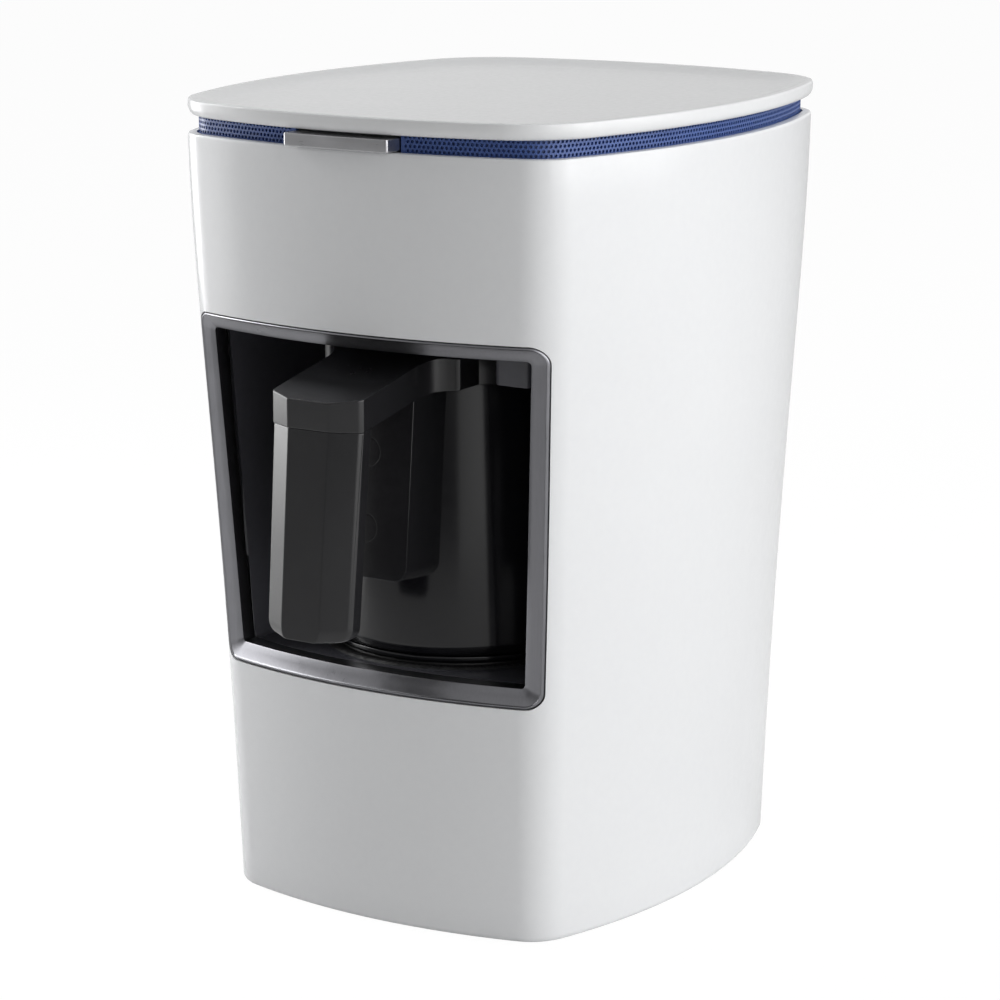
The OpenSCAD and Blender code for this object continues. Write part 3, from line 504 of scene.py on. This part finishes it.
def softened(name, node, edge=0, from_angle=0):
    bm = bmesh.new()
    bm.from_mesh(frame["nodes"][node].data)
    bmesh.ops.remove_doubles(bm, verts=bm.verts, dist=2e-6)
    if edge:
        bmesh.ops.dissolve_limit(bm, angle_limit=math.radians(FLAT_ANGLE), verts=bm.verts,
                                 edges=bm.edges)
        crisp = [e for e in bm.edges
                 if e.is_manifold and e.calc_face_angle(0) > math.radians(from_angle)]
        bmesh.ops.bevel(bm, geom=crisp, offset=edge * MM, segments=EDGE_STEPS, profile=0.5,
                        affect="EDGES", material=-1, clamp_overlap=False)
    made = piece(name, bm, node, merge=1e-7)
    even = made.modifiers.new("even_normals", "WEIGHTED_NORMAL")
    even.weight, even.keep_sharp = 100, True


# %% Niche, key, sensor and handle: each bevel's width, and the angle from which edges get it
for name, node, edge, from_angle in (
        ("niche", "niche_liner", 0, 0), ("start_key_cap", "start_button", 0.4, 50),
        ("sensor_pod", "sensor_housing", 0.35, 50), ("sensor_window", "sensor_lens", 0, 0),
        ("collar", "pot_collar", 0.3, 40), ("arm", "handle_arm", 0.35, 20),
        ("grip", "handle_grip", 0.3, 20), ("rear_leg", "handle_leg", 0.3, 50),
        ("screw_well_caps", "leg_caps", 0, 0), ("handle_bar", "handle_bracket", 0, 0),
        ("handle_fixing_screws", "handle_screws", 0, 0)):
    softened(name, node, edge, from_angle)

# %% Hot plate, underside and the cord's gland
for name, node in (("hot_plate", "heater_plate"), ("plate_seal", "heater_seal"),
                   ("underside", "base_plate"), ("feet", "rubber_feet"),
                   ("underside_screws", "base_screws"), ("niche_screws", "liner_screws"),
                   ("gland", "cord_gland")):
    softened(name, node)

# %% [markdown]
# ## The pot
#
# The pot is a cone of enamelled steel sheet with a rounded foot. Half of its section, drawn as
# a line of vertices, is spun round the pot's axis. Rounding the corners of the line first
# gives soft edges all the way round.

# %% Spin a half section into a round piece
POT_Y, TURN_STEPS, CORNER_CUTS = -25.5, 128, 4


def turned_piece(name, node, section, soft):
    bm = bmesh.new()
    corners = [bm.verts.new((r, 0, z)) for r, z in section]
    for a, b in zip(corners, corners[1:]):
        bm.edges.new((a, b))
    inner = [v for v in corners if len(v.link_edges) == 2]
    bmesh.ops.bevel(bm, geom=inner, offset=soft, segments=CORNER_CUTS, profile=0.5,
                    affect="VERTICES", material=-1, clamp_overlap=True)
    bmesh.ops.spin(bm, geom=[*bm.verts, *bm.edges], cent=(0, 0, 0), axis=(0, 0, 1),
                   angle=2 * math.pi, steps=TURN_STEPS, use_merge=True, use_duplicate=False,
                   use_normal_flip=False)
    bmesh.ops.translate(bm, vec=(0, POT_Y, 0), verts=bm.verts)
    to_metres(bm)
    piece(name, bm, node, sharp=35)


# Each pair is a radius and a height: up the outside, over the rim and down the inside.
POT_SECTION = [(0, 80), (39.0, 80), (40.2, 80.8), (40.75, 83), (34.4, 163), (32.3, 163),
               (38.5, 85), (36.5, 82), (0, 82)]
POT_FOOT_SECTION = [(0, 78), (39.0, 78), (39.8, 78.8), (39.8, 80), (0, 80)]
turned_piece("pot", "pot_vessel", POT_SECTION, 0.6)
turned_piece("pot_foot", "pot_base", POT_FOOT_SECTION, 0.3)

# %% [markdown]
# ## Materials
#
# Each finish below starts from the real one: what it is, how its surface was made and what
# that gives the eye. Colours are written as on a screen, in sRGB, and turned to linear light.
# A pattern's size is given in millimetres, because Object coordinates are metres.

# %% From sRGB to linear, and one helper for all nodes
def linear(code):
    channels = [int(code[i:i + 2], 16) / 255 for i in (1, 3, 5)]
    return [c / 12.92 if c <= 0.04045 else ((c + 0.055) / 1.055) ** 2.4 for c in channels] + [1.0]


def add(tree, kind, settings=None, links=None):
    node = tree.nodes.new("ShaderNode" + kind)
    for socket, value in (settings or {}).items():
        if isinstance(socket, int) or socket in node.inputs:
            node.inputs[socket].default_value = value
        else:
            setattr(node, socket, value)
    for socket, source in (links or {}).items():
        tree.links.new(source, node.inputs[socket])
    return node


# %% [markdown]
# ### Moulded, cast and woven finishes
#
# Most of the pieces have a finish of one kind: a colour that drifts a little over centimetres,
# and a fine grain that changes gloss and height together. Stretching the grain along one axis
# turns it into brushing. Only the numbers change from plastic to rubber or felt.

# %% A finish with a drifting colour and a fine grain
def grained(name, pale, deep, rough, grain, relief, drift=30.0, stretch=(1, 1, 1), **sockets):
    made = bpy.data.materials.new(name)
    made.use_nodes = True
    tree = made.node_tree
    tree.nodes.clear()
    place = add(tree, "TexCoord").outputs["Object"]
    laid = add(tree, "Mapping", {"Scale": stretch}, {"Vector": place}).outputs[0]
    fine = add(tree, "TexNoise", {"Scale": 1 / (grain * MM), "Detail": 3.0}, {"Vector": laid})
    broad = add(tree, "TexNoise", {"Scale": 1 / (drift * MM), "Detail": 2.0}, {"Vector": place})
    both = add(tree, "Mix", {"data_type": "FLOAT", 0: 0.5},
               {2: fine.outputs[0], 3: broad.outputs[0]}).outputs[0]
    colour = add(tree, "Mix", {"data_type": "RGBA", 6: linear(deep), 7: linear(pale)},
                 {0: both}).outputs[2]
    gloss = add(tree, "MapRange", {"From Min": 0.25, "From Max": 0.75, "To Min": rough[0],
                                   "To Max": rough[1]}, {"Value": both}).outputs[0]
    height = add(tree, "Bump", {"Strength": 1.0, "Distance": relief * MM},
                 {"Height": fine.outputs[0]}).outputs[0]
    shader = add(tree, "BsdfPrincipled", sockets,
                 {"Base Color": colour, "Roughness": gloss, "Normal": height})
    add(tree, "OutputMaterial", {}, {"Surface": shader.outputs[0]})
    return made


# %% [markdown]
# ### The finishes, by the part's own slots
#
# Gloss ABS has a faint orange peel, a few micrometres high and two or three millimetres wide.
# Brushed metal has grooves a fraction of a millimetre apart. They are drawn here as fine as
# still shows.

# %% Plastics and lacquers
finishes = {
    # moulded ABS, polished tool: sharp reflections with a faint orange peel
    "housing_white": grained("gloss_white_abs", "#EDEEEF", "#E6E7E9", (0.16, 0.24), 2.6, 0.004,
                             drift=60, IOR=1.53),
    # the same ABS with a slightly finer peel, as the lid has its own tool
    "cover_white": grained("gloss_white_abs_lid", "#ECEDEE", "#E6E7E8", (0.18, 0.26), 2.0, 0.004,
                           drift=50, IOR=1.53),
    # punched steel sheet with a blue stove lacquer: satin, slightly uneven in depth
    "band_blue": grained("blue_stove_lacquer", "#465F9C", "#38508A", (0.3, 0.42), 0.8, 0.006,
                         drift=12, IOR=1.5),
    # moulded ABS, mirror-polished tool: a dark grey that the niche's own shade turns black,
    # with long clear reflections
    "niche_black": grained("gloss_black_abs", "#56565C", "#4A4A50", (0.12, 0.2), 3.0, 0.005,
                           drift=50, IOR=1.53),
    # fired enamel on steel: deep black, a little wavier than plastic
    "pot_black": grained("black_enamel", "#16161A", "#111114", (0.12, 0.18), 4.0, 0.008, drift=40,
                         IOR=1.5),
    # phenolic handle moulding: black with a soft sheen and fine polishing marks
    "handle_black": grained("black_phenolic", "#222224", "#1C1C1E", (0.2, 0.28), 2.4, 0.003,
                            drift=20, IOR=1.55),
    # sprayed non-stick coating on cast aluminium: near-black, with a satin speckle
    "plate_coating": grained("dark_nonstick_coating", "#232324", "#19191A", (0.35, 0.48), 0.6,
                             0.01, drift=25, IOR=1.45),
    # black oxide on steel: a dull black that stays slightly rough
    "screw_black": grained("black_oxide", "#26262A", "#19191C", (0.35, 0.5), 0.5, 0.008, drift=3,
                           IOR=1.6),
    # textured ABS: matte, the pebble of a spark-eroded tool
    "base_black": grained("textured_black_abs", "#2B2B2D", "#222224", (0.55, 0.7), 0.5, 0.03,
                          IOR=1.53),
    # glass-filled PBT from an eroded tool: matte, with no clear reflections
    "inner_black": grained("matte_black_pbt", "#222223", "#1B1B1C", (0.5, 0.65), 0.6, 0.02,
                           IOR=1.55),
    # moulded nylon: a waxy mid grey with soft, wide highlights
    "bracket_grey": grained("grey_nylon", "#7D8082", "#727577", (0.45, 0.6), 0.5, 0.02, IOR=1.53),
    # thick clear plastic in front of dark foil: deep red, very glossy
    "lens_red": grained("dark_red_acrylic", "#4A0A0C", "#2E0507", (0.05, 0.09), 2.0, 0.002,
                        IOR=1.49),
}
print(len(finishes), "plastic finishes")

# %% Rubber, ceramic, felt and the boards
finishes |= {
    # moulded rubber: dull and almost without highlights
    "foot_rubber": grained("moulded_rubber", "#2A2A2B", "#1F1F20", (0.75, 0.9), 0.4, 0.03,
                           IOR=1.52),
    # silicone: deep black with a faint greasy sheen
    "seal_rubber": grained("black_silicone", "#1D1D1E", "#161617", (0.45, 0.6), 0.5, 0.01,
                           IOR=1.41),
    # unglazed steatite: a chalky off-white
    "terminal_white": grained("unglazed_steatite", "#E4E1D8", "#D3CFC3", (0.6, 0.8), 0.4, 0.02,
                              IOR=1.6),
    # natural nylon: a warm, slightly translucent-looking ivory
    "connector_ivory": grained("ivory_nylon", "#E4DCC4", "#D8CFB4", (0.4, 0.55), 0.5, 0.01,
                               IOR=1.53),
    # felted wool: no gloss at all, with an uneven fibrous surface
    "pad_wool": grained("felted_mineral_wool", "#DED3B8", "#B3A587", (0.9, 1.0), 1.2, 0.4, drift=6,
                        IOR=1.45),
    # solder resist over copper: a clear green with a wet-looking gloss
    "board_green": grained("green_solder_resist", "#1F6B39", "#17552C", (0.25, 0.4), 0.6, 0.01,
                           drift=5, IOR=1.55),
    # wound tape: smooth round the coil, with fine steps between the turns
    "tape_yellow": grained("wound_polyester_tape", "#DDB338", "#C79B22", (0.3, 0.45), 0.6, 0.03,
                           stretch=(1, 1, 12), IOR=1.58),
    # PBT case: an even satin blue
    "relay_blue": grained("blue_pbt", "#3566AE", "#2B5698", (0.35, 0.5), 0.5, 0.01, IOR=1.55),
    # silicone sleeve: a soft matte red
    "wire_red": grained("red_silicone_sleeve", "#A6372B", "#8E2A20", (0.5, 0.65), 0.4, 0.01,
                        IOR=1.41),
    # PVC sheath: satin, with an even colour
    "wire_brown": grained("brown_pvc", "#6E4630", "#5B3826", (0.4, 0.55), 0.4, 0.01, IOR=1.53),
    # the same sheath in black
    "wire_black": grained("black_pvc", "#222222", "#171717", (0.4, 0.55), 0.4, 0.01, IOR=1.53),
}
print(len(finishes), "finishes so far")

# %% Metals, which keep the default IOR
finishes |= {
    # die-cast zinc, brushed and dark plated: grooves run up and down and blur highlights sideways
    "frame_metal": grained("dark_brushed_plating", "#8E8E92", "#78787C", (0.26, 0.36), 0.5, 0.003,
                           drift=9, stretch=(1, 1, 0.03), Metallic=1.0),
    # stainless cap, brushed along its length
    "button_metal": grained("brushed_stainless_cap", "#C2C2C4", "#A8A8AB", (0.25, 0.36), 0.35,
                            0.006, drift=8, stretch=(0.03, 1, 1), Metallic=1.0),
    # zinc plating: bright, with small clear highlights
    "screw_steel": grained("zinc_plated_steel", "#C4C6C8", "#A9ACB0", (0.28, 0.4), 0.5, 0.008,
                           drift=3, Metallic=1.0),
    # aluminised sheet: pale and softly clouded
    "sheet_steel": grained("aluminised_sheet", "#B8BABC", "#A0A2A5", (0.32, 0.48), 1.5, 0.01,
                           Metallic=1.0),
    # tube that has been hot: straw and blue tints drift along it
    "element_steel": grained("heat_tinted_steel", "#8E8172", "#5B5A63", (0.35, 0.5), 1.2, 0.01,
                             drift=14, Metallic=1.0),
    # plastic sleeve shrunk over an aluminium can: dark, half metallic
    "capacitor_grey": grained("sleeved_aluminium", "#4A4C52", "#3A3C42", (0.3, 0.4), 0.5, 0.006,
                              Metallic=0.4),
}
# painted shade inside the holes: a deep blue that stands in for the shade there, where hardly any
# light gets
painted_hole_shade = grained("lacquer_in_the_holes", "#0E1336", "#080C24", (0.4, 0.6), 0.5, 0.01, IOR=1.5)
print(len(finishes), "finishes for", len(set(slot_of.values())), "slots")

# %% [markdown]
# ## Dress every piece
#
# A slot of the record names the finish. Fine pieces know their slot already, and the CAD nodes
# that still show get theirs from the record.

# %% Give each piece its finish
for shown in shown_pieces():
    slot = shown.get("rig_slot") or slot_of[shown["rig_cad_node"]]
    shown.data.materials.clear()
    shown.data.materials.append(finishes[slot])
# the band's second slot holds the painted shade inside its holes
band.data.materials.append(painted_hole_shade)
for hidden in frame["nodes"].values():
    if hidden.hide_render:
        hidden.data.materials.clear()
        hidden.data.materials.append(finishes[slot_of[hidden.name]])

# %% [markdown]
# ## The studio
#
# The machine stands on a plain white floor. To the camera, the floor and the world are white,
# while the light that falls on the object comes from soft boxes: three bright ones round the
# right side, three small near ones on the left and one above. The front faces none of them, so
# it stays darker than the sides, and that shows its curve.
#
# Gloss and metal see something else. For them the floor keeps only about a fifth of its glow,
# so it is dim in every reflection. The world is a studio with pale walls at the sides. Its
# front end is dark below and pale above, which keeps the niche black and lifts the frame's
# lower bar. Its back end is pale below and dark above, to set off the slope behind the rim.

# %% The floor
FLOOR_R, FLOOR_GLOW, SEEN_BY_CAMERA, SEEN_IN_GLOSS = 6, 1.04, 0.93, 0.22
bm = bmesh.new()
bmesh.ops.create_circle(bm, cap_ends=True, segments=64, radius=FLOOR_R)
floor_mesh = bpy.data.meshes.new("floor")
bm.to_mesh(floor_mesh)
bm.free()
floor = bpy.data.objects.new("floor", floor_mesh)
bpy.context.scene.collection.objects.link(floor)
paper = bpy.data.materials.new("white_paper_floor")
paper.use_nodes = True
tree = paper.node_tree
tree.nodes.clear()
path = add(tree, "LightPath")
fibre = add(tree, "TexNoise", {"Scale": 40.0, "Detail": 3.0})
tint = add(tree, "Mix", {"data_type": "RGBA", 6: linear("#DCDCDC"), 7: linear("#E3E3E3")},
           {0: fibre.outputs[0]}).outputs[2]
matte = add(tree, "BsdfDiffuse", {}, {"Color": tint}).outputs[0]
glow = add(tree, "Emission", {"Color": (1, 1, 1, 1), "Strength": FLOOR_GLOW}).outputs[0]
direct = add(tree, "Math", {"operation": "MULTIPLY", 1: SEEN_BY_CAMERA},
             {0: path.outputs["Is Camera Ray"]})
seen = add(tree, "Math", {"operation": "MULTIPLY_ADD", 1: SEEN_IN_GLOSS},
           {0: path.outputs["Is Glossy Ray"], 2: direct.outputs[0]})
mix = add(tree, "MixShader", {}, {0: seen.outputs[0], 1: matte, 2: glow})
add(tree, "OutputMaterial", {}, {"Surface": mix.outputs[0]})
floor_mesh.materials.append(paper)
print("a floor", 2 * FLOOR_R, "m wide")

# %% The world: white to the camera, a studio with pale walls in gloss, dim on matte surfaces
AMBIENT, LOW_GLOW, HIGH_GLOW, SIDE_GLOW = 0.09, 0.08, 0.55, 0.7
BACK_LOW_GLOW, BACK_HIGH_GLOW = 0.72, 0.22
# Where each change begins and ends, along one axis of a direction of length one.
WALLS_FROM, WALLS_FULL = 0.35, 0.95
FRONT_END, BACK_END = -0.6, 0.7
RISE_END, FALL_FROM, FALL_END = 0.6, 0.28, 0.6
world = bpy.data.worlds.new("studio")
bpy.context.scene.world = world
world.use_nodes = True
tree = world.node_tree
tree.nodes.clear()
path = add(tree, "LightPath")
seen = add(tree, "Math", {"operation": "MAXIMUM"},
           {0: path.outputs["Is Camera Ray"], 1: path.outputs["Is Transmission Ray"]})
way = add(tree, "SeparateXYZ", {}, {0: add(tree, "TexCoord").outputs["Generated"]})
sideways = add(tree, "Math", {"operation": "ABSOLUTE"}, {0: way.outputs["X"]})
walls = add(tree, "MapRange", {"From Min": WALLS_FROM, "From Max": WALLS_FULL, "To Min": 0.0,
                               "To Max": 1.0, "interpolation_type": "SMOOTHSTEP"},
            {"Value": sideways.outputs[0]})
rise = add(tree, "MapRange", {"From Min": 0.0, "From Max": RISE_END, "To Min": LOW_GLOW,
                              "To Max": HIGH_GLOW}, {"Value": way.outputs["Z"]})
depth = add(tree, "MapRange", {"From Min": FRONT_END, "From Max": BACK_END},
            {"Value": way.outputs["Y"]})
fall = add(tree, "MapRange", {"From Min": FALL_FROM, "From Max": FALL_END,
                              "To Min": BACK_LOW_GLOW, "To Max": BACK_HIGH_GLOW},
           {"Value": way.outputs["Z"]})
ends = add(tree, "Mix", {"data_type": "FLOAT"},
           {0: depth.outputs[0], 2: rise.outputs[0], 3: fall.outputs[0]})
studio = add(tree, "Mix", {"data_type": "FLOAT", 3: SIDE_GLOW},
             {0: walls.outputs[0], 2: ends.outputs[0]})
strength = add(tree, "Mix", {"data_type": "FLOAT", 2: AMBIENT},
               {0: path.outputs["Is Glossy Ray"], 3: studio.outputs[0]})
strength = add(tree, "Mix", {"data_type": "FLOAT", 3: 1.0},
               {0: seen.outputs[0], 2: strength.outputs[0]})
lit = add(tree, "Background", {"Color": (1, 1, 1, 1)}, {"Strength": strength.outputs[0]})
add(tree, "OutputWorld", {}, {"Surface": lit.outputs[0]})
print("a world of", len(tree.nodes), "nodes")


# %% The soft boxes
MIDDLE_Z = HEIGHT / 2 * MM


def soft_box(name, azimuth, elevation, distance, size, power):
    """A lamp that faces the machine. Azimuth 0 is in front, 90 on the right."""
    a, e = math.radians(azimuth), math.radians(elevation)
    light = bpy.data.lights.new(name, "AREA")
    light.shape, light.size, light.size_y = "RECTANGLE", *size
    light.energy = power
    way_out = Vector((math.sin(a) * math.cos(e), -math.cos(a) * math.cos(e), math.sin(e)))
    made = bpy.data.objects.new(name, light)
    made.location = Vector((0, 0, MIDDLE_Z)) + way_out * distance
    made.rotation_euler = (-way_out).to_track_quat("-Z", "Y").to_euler()
    bpy.context.scene.collection.objects.link(made)


# Name, azimuth and elevation in degrees, distance and size in metres, power in watts.
SOFT_BOXES = (("right_front_box", 52, 16, 1.6, (1.4, 1.6), 3.6),
              ("right_box", 82, 13, 1.6, (1.4, 1.6), 13.6),
              ("right_back_box", 108, 15, 1.6, (1.4, 1.6), 12.6),
              ("top_box", 180, 70, 1.6, (1.4, 1.0), 5.8),
              ("left_panel", -76, 12, 0.66, (0.45, 0.5), 1.75),
              ("left_side_panel", -92, 8, 0.66, (0.25, 0.3), 1.0),
              ("left_high_panel", -76, 36, 0.66, (0.16, 0.24), 1.2))
for box in SOFT_BOXES:
    soft_box(*box)
print(len(SOFT_BOXES), "soft boxes")

# %% [markdown]
# ## The camera
#
# A long lens from a metre away gives a calm product view with little perspective. It looks down
# on the cover by about thirteen degrees, from the machine's right front.

# %% The camera
AZIMUTH, ELEVATION = math.radians(32.156), math.radians(12.753)
DISTANCE, AIM_Z = 1.0447, 0.11328
LENS, SENSOR = 122.19, 36.0
SHIFT_X, SHIFT_Y = -0.00784, -0.00017
back = Vector((math.sin(AZIMUTH) * math.cos(ELEVATION), -math.cos(AZIMUTH) * math.cos(ELEVATION),
               math.sin(ELEVATION)))
camera_data = bpy.data.cameras.new("camera")
camera_data.lens, camera_data.sensor_width = LENS, SENSOR
camera_data.shift_x, camera_data.shift_y = SHIFT_X, SHIFT_Y
camera = bpy.data.objects.new("camera", camera_data)
camera.location = Vector((0, HOME_Y * MM, AIM_Z)) + back * DISTANCE
camera.rotation_euler = (-back).to_track_quat("-Z", "Y").to_euler()
bpy.context.scene.collection.objects.link(camera)
bpy.context.scene.camera = camera
bpy.context.scene.view_settings.view_transform = "Standard"
print("a lens of", LENS, "mm,", DISTANCE, "m away")
